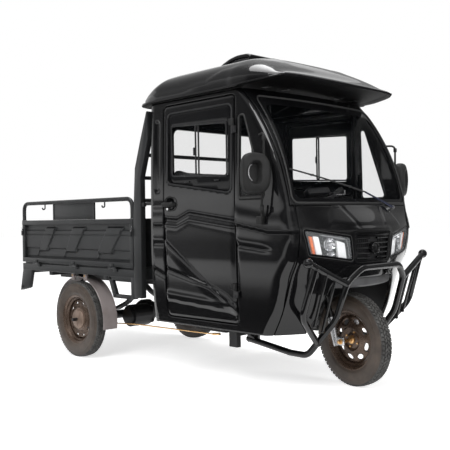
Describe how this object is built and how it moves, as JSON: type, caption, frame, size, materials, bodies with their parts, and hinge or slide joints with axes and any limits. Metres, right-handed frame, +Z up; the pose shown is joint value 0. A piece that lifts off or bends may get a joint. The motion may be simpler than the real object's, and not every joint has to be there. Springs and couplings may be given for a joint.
{
  "type": "enclosed electric cargo tricycle",
  "caption": "Enclosed electric cargo tricycle: closed driver's cab with doors, one steered front wheel with a bull bar, and an open cargo bed with drop sides over the rear axle.",
  "frame": {"origin": "on the ground under the middle of the vehicle's box", "axes": "+Z up; the front faces -Y; +X is the vehicle's left side"},
  "size_m": [1.479, 2.9632, 1.916],
  "materials": {
    "tyre": "grey-brown rubber with block tread",
    "rim_bronze": "bronze-brown painted steel",
    "gloss_black": "gloss black paint",
    "frame_black": "satin black paint",
    "satin_grey": "satin dark grey paint",
    "bed_grey": "satin dark grey paint",
    "trim_black": "matt black plastic",
    "clear_glass": "clear glass",
    "lamp_lens": "clear lens over a chromed lamp",
    "red_lens": "red lens",
    "seat_vinyl": "black vinyl",
    "guard_grey": "pinkish grey plastic"
  },
  "bodies": {
    "vehicle": {"chassis_frame": "frame_black", "outrigger_left": "frame_black", "outrigger_right": "frame_black", "rear_axle": "satin_grey", "motor": "satin_grey", "battery_box": "trim_black", "nose_panel": "gloss_black", "headlamp_left": "lamp_lens", "headlamp_right": "lamp_lens", "grille": "trim_black", "windscreen": "clear_glass", "screen_frame": "gloss_black", "side_frame_left": "gloss_black", "side_frame_right": "gloss_black", "quarter_glass_left": "clear_glass", "quarter_glass_right": "clear_glass", "rear_wall": "gloss_black", "rear_glass": "clear_glass", "roof": "gloss_black", "roof_scoop": "gloss_black", "floor_pan": "satin_grey", "dashboard": "trim_black", "seat_box": "trim_black", "seat_cushion": "seat_vinyl", "seat_back": "seat_vinyl", "bed_frame": "bed_grey", "bed_floor": "bed_grey", "headboard": "bed_grey", "mudguard_left": "guard_grey", "mudguard_right": "guard_grey", "tail_lamp_left": "red_lens", "tail_lamp_right": "red_lens", "bull_bar": "gloss_black", "mirror_left": "trim_black", "mirror_right": "trim_black", "wiper": "trim_black"},
    "steering": {"fork": "gloss_black", "handlebar": "trim_black"},
    "front_wheel": {"front_tyre": "tyre", "front_rim": "rim_bronze"},
    "rear_left_wheel": {"rear_left_tyre": "tyre", "rear_left_rim": "rim_bronze"},
    "rear_right_wheel": {"rear_right_tyre": "tyre", "rear_right_rim": "rim_bronze"},
    "left_door": {"door_left": "gloss_black", "door_glass_left": "clear_glass"},
    "right_door": {"door_right": "gloss_black", "door_glass_right": "clear_glass"},
    "left_drop_side": {"side_panel_left": "bed_grey", "side_rail_left": "bed_grey"},
    "right_drop_side": {"side_panel_right": "bed_grey", "side_rail_right": "bed_grey"},
    "rear_gate": {"tailgate": "bed_grey"}
  },
  "joints": [
    {"name": "steering", "type": "hinge", "parent": "vehicle", "child": "steering", "pos_m": [0, -1.07754, 0.64], "axis": [0, 0.2588, 0.9659], "range_deg": [-27, 49]},
    {"name": "front_wheel_spin", "type": "hinge", "parent": "steering", "child": "front_wheel", "pos_m": [-0.00829, -1.22359, 0.25979], "axis": [0.9816, -0.1843, 0.0494], "continuous": true},
    {"name": "rear_left_wheel_spin", "type": "hinge", "parent": "vehicle", "child": "rear_left_wheel", "pos_m": [0.52, 0.70564, 0.26], "axis": [1, 0, 0], "continuous": true},
    {"name": "rear_right_wheel_spin", "type": "hinge", "parent": "vehicle", "child": "rear_right_wheel", "pos_m": [-0.52, 0.70564, 0.26], "axis": [1, 0, 0], "continuous": true},
    {"name": "left_door_hinge", "type": "hinge", "parent": "vehicle", "child": "left_door", "pos_m": [0.567, -0.86136, 1], "axis": [0, 0, -1], "range_deg": [0, 68]},
    {"name": "right_door_hinge", "type": "hinge", "parent": "vehicle", "child": "right_door", "pos_m": [-0.567, -0.86136, 1], "axis": [0, 0, 1], "range_deg": [0, 68]},
    {"name": "left_drop_side_hinge", "type": "hinge", "parent": "vehicle", "child": "left_drop_side", "pos_m": [0.565, 0.74164, 0.631], "axis": [0, 1, 0], "range_deg": [0, 170]},
    {"name": "right_drop_side_hinge", "type": "hinge", "parent": "vehicle", "child": "right_drop_side", "pos_m": [-0.565, 0.74164, 0.631], "axis": [0, -1, 0], "range_deg": [0, 170]},
    {"name": "rear_gate_hinge", "type": "hinge", "parent": "vehicle", "child": "rear_gate", "pos_m": [0, 1.44564, 0.631], "axis": [-1, 0, 0], "range_deg": [0, 170]}
  ]
}
